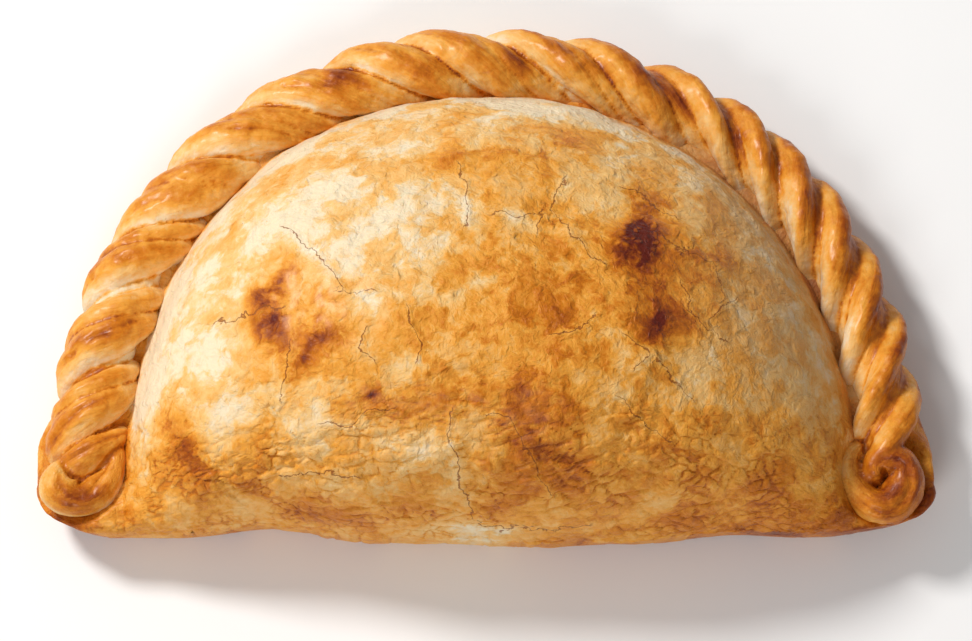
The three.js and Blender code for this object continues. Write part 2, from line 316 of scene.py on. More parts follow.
def rim_line(count):
    """Points on the rope's middle line, and each one's distance from the left corner."""
    overrun = 0.02
    angle = np.linspace(math.pi + overrun, -overrun, count)
    x = np.cos(angle) * np.where(np.cos(angle) < 0, RIM[0], RIM[1])
    y = np.sign(np.sin(angle)) * back_of(RIM, x)
    z = ROPE_HEIGHT + 0.5 * np.sin(5 * angle) + 0.3 * np.sin(11 * angle + 1)
    points = np.stack([x, y, z], axis=-1)
    steps = length_of(np.diff(points, axis=0))[:, 0]
    return points, np.concatenate([[0], np.cumsum(steps)])


RIM_POINTS, RIM_DISTANCES = rim_line(4001)
RIM_LENGTH = RIM_DISTANCES[-1]
RIM_RUN = np.gradient(RIM_POINTS, axis=0) * (1, 1, 0)
RIM_RUN /= length_of(RIM_RUN)


def rim_frame(distance):
    """Place on the rope at a distance along it, and the way out from the pocket there."""
    held = np.clip(distance, 0, RIM_LENGTH)
    middle = np.stack([np.interp(held, RIM_DISTANCES, RIM_POINTS[:, i]) for i in range(3)], axis=-1)
    run = np.stack([np.interp(held, RIM_DISTANCES, RIM_RUN[:, i]) for i in range(3)], axis=-1)
    run /= length_of(run)
    past = END_ROOM * np.tanh((distance - held) / END_ROOM)
    out = np.stack([-run[..., 1], run[..., 0], 0 * held], axis=-1)
    return middle + run * past[..., None], out


# ---------- the pocket's surface ----------
def folded_edge(x):
    """How far back the folded front edge lies at x, which is forward of the corners and so negative."""
    forward = arch_depth(x, SHEET_HALF_WIDTH, FRONT_REACH, FRONT_FULLNESS)
    sway = sum(by * np.exp(-(((x - at) / wide) ** 2)) for at, wide, by in FRONT_SWAYS)
    return -forward * (1 + sway / FRONT_REACH)


def sheet_edge(longitude):
    """The dough's outline at a longitude about the crown: 0 is the right corner and pi / 2 the back."""
    x = SHEET_HALF_WIDTH * np.cos(longitude)
    back = back_of(SHEET, x)
    is_back = np.sin(longitude) >= 0
    y = np.where(is_back, back, folded_edge(x))
    return x * (1 - DRAWN_IN * smoothstep(y, 3, 14)), y


def rounding(distance, radius, power=2.0):
    """From 0 at an edge to 1 once a rounding of this radius is past."""
    return (1 - (1 - np.clip(distance / radius, 0, 1)) ** power) ** (1 / power)


def seam_share(x, y):
    """0 at the pocket's middle and 1 where it meets the rope."""
    half_width, fullness = side_of(SEAM, x)
    return np.abs(x / half_width) ** fullness + np.maximum(y / SEAM[2], 0) ** fullness


def rise(x, y):
    """How high the filling lifts the dough, from 0 at its edges."""
    over_seam = np.maximum(0, 1 - seam_share(x, y) ** 1.3) ** 0.62
    return rounding(y - folded_edge(x), FRONT_ROUND, 2.3) * over_seam


def unevenness(x, y):
    """A swell over the filling at the back left, and broad shallow waves all over, in millimetres."""
    swell = 0.9 * np.exp(-(((x + 30) / 11) ** 2) - ((y - 31) / 9) ** 2)
    broad_waves = 0.35 * np.sin(0.12 * x + 0.9) * np.sin(0.15 * y + 0.5)
    return swell + broad_waves + 0.2 * np.sin(0.21 * x - 0.13 * y)


def outline_level(y):
    """Height above the tray of the dough's widest outline."""
    return mixed(SEAM_HEIGHT, FRONT_HEIGHT, smoothstep(-y, -9, 7))


def blended_max(a, b, fillet):
    """The higher of two surfaces, with a fillet between them."""
    share = np.clip(0.5 + 0.5 * (b - a) / fillet, 0, 1)
    return mixed(a, b, share) + fillet * share * (1 - share)


def crust_top(longitude, share):
    """A place on top of the dough, share of the way from the crown to the outline."""
    edge_x, edge_y = sheet_edge(longitude)
    x = share * edge_x
    y = mixed(CROWN_BACK, edge_y, share)
    level = outline_level(y)
    soft = rounding((1 - share) * np.hypot(edge_x, edge_y - CROWN_BACK), EDGE_ROUND)
    pressed_top = mixed(PRESSED_HEIGHT, CORNER_HEIGHT, smoothstep(-y, -18, -3))
    pressed = level + (pressed_top - level) * soft * rounding(y - folded_edge(x), EDGE_ROUND)
    risen = level + (HEIGHT - level) * rise(x, y) / rise(0.0, CROWN_BACK) + soft * unevenness(x, y)
    z = blended_max(pressed, risen, np.maximum(SEAM_FILLET * soft, 0.01))
    return np.stack([x, y, z], axis=-1)


def crust_under(longitude, share):
    """The same below the outline, where the belly curves in to the tray."""
    edge_x, edge_y = sheet_edge(longitude)
    y = mixed(CROWN_BACK, edge_y, share)
    level = outline_level(y)
    z = level - (level + BELLY_DIP) * np.sqrt(1 - share**10)
    return np.stack([share * edge_x, y, np.maximum(z, 0)], axis=-1)


def even_shares(longitude, radius):
    """Shares from the crown to the outline that space the surface evenly, for radius 0 to 1."""
    longitudes = np.linspace(-math.pi, math.pi, 721)
    tries = 1 - (1 - np.linspace(0, 1, 500)) ** 2.5
    radii = np.linspace(0, 1, 400)
    table = []
    for one in longitudes:
        steps = length_of(np.diff(crust_top(np.full_like(tries, one), tries), axis=0))[:, 0]
        walked = np.concatenate([[0], np.cumsum(steps)])
        table.append(np.interp(radii, walked / walked[-1], tries))
    table = np.array(table)
    row = (longitude + math.pi) / (2 * math.pi) * (len(longitudes) - 1)
    column = radius * (len(radii) - 1)
    row_low = np.minimum(row.astype(int), len(longitudes) - 2)
    column_low = np.minimum(column.astype(int), len(radii) - 2)
    row_part = row - row_low
    column_part = column - column_low
    near = mixed(table[row_low, column_low], table[row_low, column_low + 1], column_part)
    far = mixed(table[row_low + 1, column_low], table[row_low + 1, column_low + 1], column_part)
    return mixed(near, far, row_part)


# ---------- handling meshes ----------
def places(obj):
    """The vertices' places in millimetres."""
    values = np.empty(len(obj.data.vertices) * 3)
    obj.data.vertices.foreach_get("co", values)
    return values.reshape(-1, 3) / MM


def normals(obj):
    values = np.empty(len(obj.data.vertices) * 3)
    obj.data.vertices.foreach_get("normal", values)
    return values.reshape(-1, 3)


def move(obj, points):
    obj.data.vertices.foreach_set("co", (points * MM).ravel())
    obj.data.update()


def only(obj):
    """Selects this object alone and makes it active."""
    bpy.ops.object.select_all(action="DESELECT")
    obj.select_set(True)
    bpy.context.view_layer.objects.active = obj


def primitive(add, name, **settings):
    """Adds one of Blender's basic meshes under a name of its own."""
    bpy.ops.object.select_all(action="DESELECT")
    add(**settings)
    obj = bpy.context.active_object
    obj.name = name
    return obj


def apply_modifier(obj, kind, **settings):
    only(obj)
    modifier = obj.modifiers.new(kind.title(), kind)
    for name, value in settings.items():
        setattr(modifier, name, value)
    bpy.ops.object.modifier_apply(modifier=modifier.name)


def add_lumps(obj, size, height, group=""):
    """Moves the surface in and out by a solid noise whose features are about size millimetres."""
    texture = bpy.data.textures.new("Lumps " + str(size), "CLOUDS")
    texture.noise_scale = size * MM
    apply_modifier(
        obj, "DISPLACE", texture=texture, texture_coords="LOCAL", strength=height * MM, mid_level=0.5,
        vertex_group=group,
    )


def store(obj, name, values):
    """Keeps a number or a vector for each vertex as an attribute that a material can read."""
    kind, field = ("FLOAT_VECTOR", "vector") if values.ndim == 2 else ("FLOAT", "value")
    attribute = obj.data.attributes.new(name, kind, "POINT")
    attribute.data.foreach_set(field, values.astype(np.float32).ravel())


def weigh(obj, name, values):
    """A vertex group from values in ten steps."""
    group = obj.vertex_groups.new(name=name)
    steps = np.round(np.clip(values, 0, 1) * 10).astype(int)
    for step in range(1, 11):
        group.add(np.flatnonzero(steps == step).tolist(), step / 10, "REPLACE")


def ridges(obj, passes):
    """How far each vertex stands out from the smoothed surface, in millimetres."""
    copy = obj.copy()
    copy.data = obj.data.copy()
    bpy.context.collection.objects.link(copy)
    apply_modifier(copy, "SMOOTH", factor=0.5, iterations=passes)
    relief = np.sum((places(obj) - places(copy)) * normals(obj), axis=1)
    bpy.data.objects.remove(copy)
    return relief


def evened(obj, values, passes):
    """Values per vertex, each drawn towards the mean of its neighbours."""
    ends = np.empty(len(obj.data.edges) * 2, dtype=np.int32)
    obj.data.edges.foreach_get("vertices", ends)
    first, second = ends.reshape(-1, 2).T
    count = len(values)
    neighbours = np.bincount(first, minlength=count) + np.bincount(second, minlength=count)
    for _ in range(passes):
        total = np.bincount(first, values[second], count) + np.bincount(second, values[first], count)
        values = mixed(values, total / np.maximum(neighbours, 1), 0.6)
    return values


def wander(points, size, reach):
    """A smooth push in all directions, with turns about size millimetres apart."""
    noise.seed_set(WANDER_SEED)
    return reach * np.array([noise.noise_vector(point) for point in points / size])


def lift_flakes(obj, size, height, amount):
    """Raises scales of crust with creases between them, and keeps the distance to the nearest crease."""
    points = places(obj)
    chance = np.random.default_rng(FLAKE_SEED)
    count = int(FLAKED_AREA / size**2)
    tree = tree_of(points[chance.choice(len(points), count, replace=False)])
    levels = chance.uniform(-1, 1, count)
    bent = points + wander(points, 3.6, 1.3) + wander(points, 1.2, 0.45)
    found = [tree.find_n(place, 2) for place in bent]
    crease = np.array([far[2] - near[2] for near, far in found])
    level = levels[[near[1] for near, far in found]]
    pillow = smoothstep(crease, 0, 0.34 * size) - 0.6
    patchy = smoothstep(wander(points, 8.0, 1.0)[:, 0], -0.30, 0.35)
    lift = height * amount * (0.4 + 0.6 * patchy) * (pillow + 0.4 * level)
    move(obj, points + normals(obj) * lift[:, None])
    return crease


def settle(obj):
    """Centres the finished form on the solid's box, standing on the tray."""
    low, high = CAD_BOX
    middle = (np.array(low) + np.array(high)) / 2 / MM
    shift = (middle[0] - FORM_MIDDLE[0], middle[1] - FORM_MIDDLE[1], low[2] / MM)
    move(obj, on_the_tray(places(obj)) + shift)


def on_the_tray(points):
    """The same points, with none below the tray."""
    return np.stack([points[:, 0], points[:, 1], np.maximum(points[:, 2], 0)], axis=-1)


def dress(obj, material):
    only(obj)
    bpy.ops.object.shade_smooth()
    obj.data.materials.clear()
    obj.data.materials.append(material)
    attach(obj, "root")
    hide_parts("empanada")


# ---------- where the crust is browned ----------
def seen(points):
    """Places in the tilted plane that the browning is given in."""
    up = points[:, 1] * math.sin(VIEW_TILT) + (points[:, 2] - ROPE_HEIGHT) * math.cos(VIEW_TILT)
    return np.stack([points[:, 0], up], axis=-1)


def spots(plane, listed):
    """The listed soft-edged patches together, at each place in that plane."""
    total = np.zeros(len(plane))
    for right, up, half_length, half_width, lean, strength in listed:
        offset = plane - (right, up)
        turn = math.radians(lean)
        along = offset[:, 0] * math.cos(turn) + offset[:, 1] * math.sin(turn)
        across = offset[:, 1] * math.cos(turn) - offset[:, 0] * math.sin(turn)
        total += strength * np.exp(-((along / half_length) ** 2) - (across / half_width) ** 2)
    return total


def crack_places(plane):
    """Signed distance to the side of the nearest crack, and plain distance to it."""
    side = np.full(len(plane), 99.0)
    near = np.full(len(plane), 99.0)
    for crack in CRACKS:
        for start, end in zip(crack, crack[1:]):
            start = np.array(start)
            run = np.array(end) - start
            reach = np.dot(run, run)
            offset = plane - start
            share = np.clip(offset @ run / reach, 0, 1)
            distance = np.linalg.norm(offset - share[:, None] * run, axis=1)
            sideways = (run[0] * offset[:, 1] - run[1] * offset[:, 0]) / math.sqrt(reach)
            closer = distance < near
            near[closer] = distance[closer]
            side[closer] = sideways[closer]
    return side, near


# ---------- materials ----------
class Shader:
    """Adds nodes to a material and joins them."""

    def __init__(self, name):
        self.material = bpy.data.materials.new(name)
        self.material.use_nodes = True
        self.tree = self.material.node_tree
        self.surface = self.tree.nodes["Principled BSDF"]

    def add(self, kind, **settings):
        node = self.tree.nodes.new(kind)
        for name, value in settings.items():
            setattr(node, name, value)
        return node

    def put(self, socket, value):
        if isinstance(value, bpy.types.NodeSocket):
            self.tree.links.new(value, socket)
        else:
            socket.default_value = value

    def sum(self, operation, a, b=0.0, c=0.0):
        node = self.add("ShaderNodeMath", operation=operation)
        for socket, value in zip(node.inputs, (a, b, c)):
            self.put(socket, value)
        return node.outputs[0]

    def total(self, *terms):
        result = terms[0]
        for term in terms[1:]:
            result = self.sum("ADD", result, term)
        return result

    def scaled(self, value, by, plus=0.0):
        return self.sum("MULTIPLY_ADD", value, by, plus)

    def swing(self, value, by):
        """A value from 0 to 1 made to swing evenly about 0, over this range in all."""
        return self.scaled(value, by, -by / 2)

    def step(self, value, low, high, to_low=0.0, to_high=1.0):
        node = self.add("ShaderNodeMapRange", interpolation_type="SMOOTHSTEP")
        ends = {"Value": value, "From Min": low, "From Max": high, "To Min": to_low, "To Max": to_high}
        for name, end in ends.items():
            self.put(node.inputs[name], end)
        return node.outputs["Result"]

    def attribute(self, name, output="Fac"):
        return self.add("ShaderNodeAttribute", attribute_name=name).outputs[output]

    def vector(self, operation, a, b):
        node = self.add("ShaderNodeVectorMath", operation=operation)
        self.put(node.inputs[0], a)
        self.put(node.inputs[3] if operation == "SCALE" else node.inputs[1], b)
        return node.outputs[0]

    def millimetres(self):
        return self.vector("SCALE", self.add("ShaderNodeTexCoord").outputs["Object"], 1 / MM)

    def noise(self, at, size, detail=3.0, roughness=0.55, distortion=0.0, output="Fac", kind="FBM"):
        """Noise with features of about size millimetres."""
        node = self.add("ShaderNodeTexNoise", noise_type=kind)
        self.put(node.inputs["Vector"], at)
        node.inputs["Scale"].default_value = 1 / size
        node.inputs["Detail"].default_value = detail
        node.inputs["Roughness"].default_value = roughness
        node.inputs["Distortion"].default_value = distortion
        return node.outputs[output]

    def ridged(self, at, size, detail):
        """Sharp winding ridges about size millimetres apart."""
        return self.noise(at, size, detail, 0.5, kind="RIDGED_MULTIFRACTAL")

    def cells(self, at, size):
        """How far it is to the middle of the nearest cell, as a share of the cells' size."""
        node = self.add("ShaderNodeTexVoronoi", feature="F1")
        self.put(node.inputs["Vector"], at)
        node.inputs["Scale"].default_value = 1 / size
        return node.outputs["Distance"]

    def warped(self, at, size, reach):
        """Places pushed about by up to reach millimetres, so that a pattern on them bends."""
        push = self.vector("SUBTRACT", self.noise(at, size, 2.0, output="Color"), (0.5, 0.5, 0.5))
        return self.vector("ADD", at, self.vector("SCALE", push, 2 * reach))

    def mix(self, share, a, b):
        """Two colours mixed, by the sockets of the node's colour kind."""
        node = self.add("ShaderNodeMix", data_type="RGBA")
        self.put(node.inputs[0], share)
        self.put(node.inputs[6], a)
        self.put(node.inputs[7], b)
        return node.outputs[2]

    def ramp(self, value, stops):
        node = self.add("ShaderNodeValToRGB")
        elements = node.color_ramp.elements
        while len(elements) < len(stops):
            elements.new(0.5)
        for element, (position, colour) in zip(elements, stops):
            element.position = position
            element.color = (*colour, 1)
        self.put(node.inputs[0], value)
        return node.outputs[0]

    def bump(self, height):
        """height is in millimetres."""
        node = self.add("ShaderNodeBump")
        node.inputs["Distance"].default_value = MM
        node.inputs["Strength"].default_value = 1.0
        self.put(node.inputs["Height"], height)
        self.put(self.surface.inputs["Normal"], node.outputs["Normal"])


def crust_colour(shader, browning_and_shade):
    """The colour of the crust at a browning from 0 to 1 that also holds painted shade, greyed where grey
    shade is painted on the right.
    """
    colours = bpy.context.scene.empanada_colours
    crust = (colours.cream, colours.pale_gold, colours.gold, colours.orange, colours.brown, colours.burnt)
    baked = shader.ramp(browning_and_shade, tuple(zip(BROWNING_STEPS, crust)))
    # mixes in painted grey shade where the attribute asks for it
    return shader.mix(shader.attribute("grey_shade"), baked, (*colours.grey_shade, 1))


def dough_surface(shader, colour, browning_and_shade, coat):
    """What both pieces share: egg-washed pastry that light sinks into a little."""
    surface = shader.surface
    surface.inputs["Specular IOR Level"].default_value = 0.14
    surface.inputs["Subsurface Weight"].default_value = 0.08
    surface.inputs["Subsurface Radius"].default_value = (1.0, 0.45, 0.2)
    surface.inputs["Subsurface Scale"].default_value = 1.5 * MM
    surface.inputs["Coat Weight"].default_value = coat
    surface.inputs["Coat Roughness"].default_value = 0.25
    shader.put(surface.inputs["Base Color"], colour)
    shader.put(surface.inputs["Roughness"], shader.step(browning_and_shade, 0.1, 0.7, 0.62, 0.38))


def long_cracks(shader, quick, slow):
    """The placed cracks: a thin dark line and its pale lips. A quick noise makes it jagged, and a slow
    one makes it wider and narrower."""
    jagged = shader.sum("ADD", shader.attribute("crack_side"), shader.swing(quick, 1.1))
    side = shader.sum("ABSOLUTE", jagged)
    placed = shader.step(shader.attribute("crack_near"), 0.8, 1.6, 1.0, 0.0)
    width = shader.step(slow, 0.36, 0.66, 0.05, 0.17)
    line = shader.sum("MULTIPLY", shader.step(side, shader.scaled(width, 0.35), width, 1.0, 0.0), placed)
    lips = shader.sum("MULTIPLY", shader.step(side, 0.15, 0.9, 1.0, 0.0), placed)
    return line, lips


def pocket_material():
    shader = Shader("Baked pocket crust")
    at = shader.millimetres()
    bent = shader.warped(shader.warped(at, 6.0, 1.6), 1.6, 0.7)
    flaky = shader.attribute("flaky")
    scorched = shader.attribute("scorched")
    broad = shader.noise(bent, 15.0, 4.0, 0.6)
    glazed = shader.step(shader.noise(bent, 7.0, 6.0, 0.62), 0.45, 0.55)
    blotches = shader.noise(bent, 2.8, 5.0, 0.65)
    specks = shader.noise(at, 0.8, 3.0, 0.6)
    crease = shader.sum("ADD", shader.attribute("crease"), shader.swing(blotches, 1.2))
    # painted shade along the creases between the flakes
    shaded_crease_lines = shader.sum("MULTIPLY", shader.step(crease, 0.05, 0.40, 1.0, 0.0), shader.attribute("crease_shade_share"))
    # paler bead tops and darker gaps in the scorches: partly the crust's own colour, partly painted light
    # and shade
    beads = shader.step(shader.cells(bent, 1.2), 0.25, 0.65, 1.0, 0.0)
    long_line, lips = long_cracks(shader, specks, blotches)
    patches = shader.total(
        shader.swing(broad, 0.66),
        shader.swing(glazed, 0.17),
        shader.swing(blotches, 0.60),
    )
    browning_and_shade = shader.total(
        shader.attribute("browning_and_shade"),
        shader.sum("MULTIPLY", patches, shader.scaled(flaky, -0.35, 1.12)),
        shader.swing(specks, 0.22),
        shader.scaled(lips, -0.06),
        shader.scaled(shaded_crease_lines, 0.15),
        shader.sum("MULTIPLY", shader.swing(beads, -0.24), scorched),
    )
    crack = (*bpy.context.scene.empanada_colours.crack, 1)
    colour = shader.mix(shader.scaled(long_line, 0.80), crust_colour(shader, browning_and_shade), crack)
    dough_surface(shader, colour, browning_and_shade, coat=0.12)
    wrinkles = shader.ridged(bent, 1.9, 3.0)
    crinkles = shader.ridged(bent, 0.8, 2.0)
    height = shader.total(
        shader.scaled(blotches, 0.60),
        shader.scaled(wrinkles, 0.42),
        shader.scaled(crinkles, 0.18),
        shader.scaled(specks, 0.12),
        shader.scaled(shaded_crease_lines, -0.10),
        shader.scaled(lips, 0.12),
        shader.scaled(long_line, -0.07),
        shader.sum("MULTIPLY", shader.scaled(beads, 0.16), scorched),
    )
    shader.bump(height)
    return shader.material


def rope_material():
    shader = Shader("Egg-washed rope crust")
    at = shader.millimetres()
    grain_at = shader.attribute("grain", "Vector")
    grain_share = shader.attribute("grain_share")

    def along_grain(size, distortion):
        grained = shader.noise(grain_at, size, 4.0, 0.6, distortion)
        return shader.total(shader.sum("MULTIPLY", shader.swing(grained, 1.0), grain_share), 0.5)

    broad = shader.noise(at, 7.0, 4.0, 0.6)
    streaks = along_grain(3.2, 0.6)
    grain = along_grain(1.2, 0.4)
    blotches = shader.noise(at, 2.6, 4.0, 0.6)
    specks = shader.noise(at, 0.8, 3.0, 0.6)
    wrinkles = shader.ridged(at, 1.8, 3.0)
    browning_and_shade = shader.total(
        shader.attribute("browning_and_shade"),
        shader.swing(broad, 0.60),
        shader.swing(streaks, 0.60),
        shader.swing(grain, 0.40),
        shader.swing(blotches, 0.35),
        shader.swing(specks, 0.16),
    )
    dough_surface(shader, crust_colour(shader, browning_and_shade), browning_and_shade, coat=0.22)
    height = shader.total(
        shader.scaled(streaks, 0.40),
        shader.scaled(grain, 0.28),
        shader.scaled(blotches, 0.30),
        shader.scaled(wrinkles, 0.20),
        shader.scaled(specks, 0.08),
    )
    shader.bump(height)
    return shader.material


def floor_material():
    shader = Shader("Pale studio floor")
    shader.surface.inputs["Roughness"].default_value = 0.9
    shader.surface.inputs["Specular IOR Level"].default_value = 0.1
    grain = shader.noise(shader.millimetres(), 6.0, 2.0)
    floor = bpy.context.scene.empanada_colours.floor
    darker = [0.99 * part for part in floor]
    shader.put(shader.surface.inputs["Base Color"], shader.mix(grain, (*darker, 1), (*floor, 1)))
    return shader.material


# ---------- the pocket ----------
def disc_from_square(obj):
    """Longitude and radius of each point of a square grid that is rounded into a disc."""
    flat = places(obj) * MM
    across = flat[:, 0] * np.sqrt(1 - flat[:, 1] ** 2 / 2)
    back = flat[:, 1] * np.sqrt(1 - flat[:, 0] ** 2 / 2)
    return np.arctan2(back, across), np.minimum(np.hypot(across, back), 1)


def fold_under(obj):
    """Carries the outline down round the belly and closes the flat base."""
    count = len(obj.data.vertices)
    for share in UNDER_RINGS:
        only(obj)
        bpy.ops.object.mode_set(mode="EDIT")
        bpy.ops.mesh.select_mode(type="EDGE")
        bpy.ops.mesh.select_all(action="DESELECT")
        bpy.ops.mesh.select_non_manifold()
        bpy.ops.mesh.extrude_region_move()
        bpy.ops.object.mode_set(mode="OBJECT")
        points = places(obj)
        ring = longitude_of(points[count:])
        points[count:] = crust_under(ring, np.full(len(ring), share))
        move(obj, points)
        count += len(ring)
    bpy.ops.object.mode_set(mode="EDIT")
    bpy.ops.mesh.select_all(action="DESELECT")
    bpy.ops.mesh.select_non_manifold()
    bpy.ops.mesh.edge_face_add()
    bpy.ops.mesh.poke()
    bpy.ops.mesh.select_all(action="SELECT")
    bpy.ops.mesh.normals_make_consistent(inside=False)
    bpy.ops.object.mode_set(mode="OBJECT")


EDGE_LONGITUDES = np.linspace(-math.pi, math.pi, 7201)


def longitude_of(points):
    """The longitude about the crown whose outline point lies the same way as each point."""
    edge_x, edge_y = sheet_edge(EDGE_LONGITUDES)
    ways = np.unwrap(np.arctan2(edge_y - CROWN_BACK, edge_x))
    asked = np.arctan2(points[:, 1] - CROWN_BACK, points[:, 0])
    asked = np.where(asked < ways.min(), asked + 2 * math.pi, asked)
    asked = np.where(asked > ways.max(), asked - 2 * math.pi, asked)
    return np.interp(asked, ways, EDGE_LONGITUDES)


def flakiness(points):
    """The lower front is the flakiest, and the dough beside the rope is smooth."""
    x, y, _ = points.T
    low_front = smoothstep(-seen(points)[:, 1], -20, 0)
    beside_rope = smoothstep(seam_share(x, y), 0.82, 1.0) * smoothstep(y, 2, 10)
    corner = smoothstep(np.abs(x), 46, 58)
    return np.clip(0.25 + 0.8 * low_front - 0.5 * beside_rope, 0, 1) * (1 - 0.8 * corner)


def with_room_for_curls(points):
    """The dough sinks a little under each corner curl, and stays on the tray."""
    x, y, z = points.T.copy()
    for side, out, back, radius, *_ in CURLS:
        distance = np.hypot(x - side * out, y - back)
        z -= SUNK_UNDER_CURL * smoothstep(radius - distance, -2.5, 0.5) * smoothstep(z, 4, 9)
    return on_the_tray(np.stack([x, y, z], axis=-1))


def brown_and_shade_pocket(obj, crease):
    """Works out how far each part of the pocket is baked, with painted shade in its hollows, in the gap at
    the seam and on its right side, and what its material needs to know.
    """
    points = places(obj)
    plane = seen(points) + wander(points, 4.0, 1.6)[:, :2] + wander(points, 1.3, 0.5)[:, :2]
    x, y, z = points.T
    relief = ridges(obj, 60)
    # painted shade: the pocket is darker in its small hollows
    hollow_shade = smoothstep(-ridges(obj, 6), 0.01, 0.09)
    seam = seam_share(x, y)
    low_front = smoothstep(-plane[:, 1], -14, 2)
    border = smoothstep(seam, 0.78, 0.94) * smoothstep(-seam, -1.0, -0.96) * smoothstep(y, 2, 10)
    # browner towards the right, from 5 to 45 mm: painted shade on the side that faces away from the light
    base = 0.18 + 0.19 * low_front + 0.13 * smoothstep(x, 5, 45)
    right = smoothstep(x, 0, 30)
    scorched = spots(plane, SCORCHES)
    toasted = scorched + spots(plane, GOLDEN) - spots(plane, PALE)
    under = smoothstep(-z, -4, -1)
    outside = smoothstep(seam, 1.12, 1.25)
    # painted shade in the gap where the pocket meets the rope, darker on the left
    seam_gap_shade = smoothstep(seam, 0.96, 1.0) * smoothstep(-seam, -1.25, -1.12) * smoothstep(y, -6, 4)
    corner = smoothstep(np.abs(x), 48, 58) * smoothstep(-y, -4, 3)
    # the pale border by the rope is kept less pale on the right: painted shade there
    browning_and_shade = base - 0.17 * border * (1 - 0.7 * right)
    browning_and_shade += 0.12 * np.clip(relief, -0.5, 0.5) + 0.08 * hollow_shade
    browning_and_shade += 0.12 * under + seam_gap_shade * mixed(0.34, 0.14, right) + 0.12 * corner
    browning_and_shade += outside * mixed(0.06, 0.24, right)
    flaky = flakiness(points)
    store(obj, "browning_and_shade", np.minimum(browning_and_shade, DARKEST_BROWNING_AND_SHADE) + toasted)
    store(obj, "flaky", flaky)
    # where the painted shade along the flakes' creases shows
    store(obj, "crease_shade_share", flaky * smoothstep(wander(points, 6.0, 1.0)[:, 0], -0.20, 0.20))
    store(obj, "crease", crease)
    store(obj, "scorched", smoothstep(scorched, 0.42, 0.75))
    # painted grey shade on the pocket's right side and in the seam gap there
    store(obj, "grey_shade", spots(plane, GREY_SHADE_PATCHES) + 0.35 * seam_gap_shade * right)
    side, near = crack_places(seen(points))
    store(obj, "crack_side", side + wander(points, 2.6, 0.9)[:, 0] + wander(points, 1.2, 0.25)[:, 0])
    store(obj, "crack_near", near)


class EMPANADA_OT_pocket(bpy.types.Operator):
    """Builds the baked pocket: a grid rounded into the half-moon, swelled and closed underneath"""

    bl_idname = "empanada.pocket"
    bl_label = "Baked pocket"

    def execute(self, context):
        cuts = GRID_SIDE - 1
        add = bpy.ops.mesh.primitive_grid_add
        pocket = primitive(add, "pocket_crust", x_subdivisions=cuts, y_subdivisions=cuts, size=2)
        longitude, radius = disc_from_square(pocket)
        move(pocket, crust_top(longitude, even_shares(longitude, radius)))
        fold_under(pocket)
        above = smoothstep(places(pocket)[:, 2], 2, 8)
        weigh(pocket, "above the tray", above)
        for lumps in (POCKET_SWELLS, POCKET_LUMPS):
            add_lumps(pocket, *lumps, group="above the tray")
        crease = lift_flakes(pocket, *FLAKES, above * flakiness(places(pocket)))
        move(pocket, with_room_for_curls(places(pocket)))
        brown_and_shade_pocket(pocket, crease)
        settle(pocket)
        dress(pocket, pocket_material())
        return {"FINISHED"}


# ---------- the rope ----------
class Rolls:
    """Winds copies of one ball of dough into rolls, and keeps where on its roll each vertex lies."""

    def __init__(self, ball):
        self.ball = ball
        sphere = places(ball) * MM
        sphere /= length_of(sphere)
        self.longitude = np.arctan2(sphere[:, 1], sphere[:, 0])
        self.u = np.arcsin(np.clip(sphere[:, 2], -1, 1)) / math.pi + 0.5
        self.parts = []
        self.laid = []

    def wind(self, kind, at, section, tilt=0.0):
        """Winds one roll of this kind.

        at(u) gives its middle line and the way its depth is measured, and section(u) its half width and
        half depth, for u from 0 to 1 along the roll.
        """
        roll = self.ball.copy()
        roll.data = self.ball.data.copy()
        bpy.context.collection.objects.link(roll)
        u = self.u
        small = 1e-3
        middle, up = at(u)
        along = at(u + small)[0] - at(u - small)[0]
        along /= length_of(along)
        across = np.cross(along, up)
        across /= length_of(across)
        depthward = np.cross(across, along)
        tilted_across = across * math.cos(tilt) + depthward * math.sin(tilt)
        tilted_depth = depthward * math.cos(tilt) - across * math.sin(tilt)
        end = np.sqrt(np.maximum(0, 1 - np.abs(2 * u - 1) ** 3))
        half_width, half_depth = section(u)
        deep = (np.cos(self.longitude) * half_depth * end)[:, None]
        wide = (np.sin(self.longitude) * half_width * end)[:, None]
        points = middle + tilted_depth * deep + tilted_across * wide
        move(roll, points)
        self.parts.append(roll)
        self.laid.append((points, np.full(len(u), kind), u, self.longitude))

    def nearest(self, points):
        """Kind of roll, place along it and turn about it, of the rolls' vertex nearest each point."""
        at, kind, u, longitude = (np.concatenate(column) for column in zip(*self.laid))
        tree = tree_of(at)
        found = np.array([tree.find(point)[1] for point in points])
        return kind[found], u[found], longitude[found]


def spindle(u):
    """Thickness along a fold: thick in the middle and thin at either end."""
    return 0.50 + 0.56 * np.sin(math.pi * np.clip(u, 0, 1) ** 0.85)


def wind_fold(rolls, distance, gap, kind, hand):
    """One fold rolls over the rope from under its outer side to the seam, moving on along the rim."""
    number, orbit, half_depth, width_share, lag = kind
    advance = mixed(*FOLD_ADVANCE, smoothstep(distance, 25, 65)) + hand(1.5)
    plump = 1 + PLUMP_START * (1 - smoothstep(distance, -10, 65))
    slim = 1 - SLIM_END * smoothstep(distance, 95, 135) * (number == FOLD)
    wide = width_share * gap * plump * slim * (1 + hand(0.08))
    deep = half_depth * plump * (1 + hand(0.05))
    start, end = (degrees + hand(6) for degrees in FOLD_TURN)
    first = distance + lag * gap

    def at(u):
        turn = np.radians(mixed(start, end, u))
        middle, out = rim_frame(first + advance * (turn / math.pi - 0.5))
        up = out * np.cos(turn)[:, None]
        up[:, 2] = np.sin(turn)
        return middle + up * orbit * plump, up

    def section(u):
        return wide * spindle(u), deep * (0.4 + 0.6 * spindle(u))

    rolls.wind(number, at, section, SHINGLE_TILT)


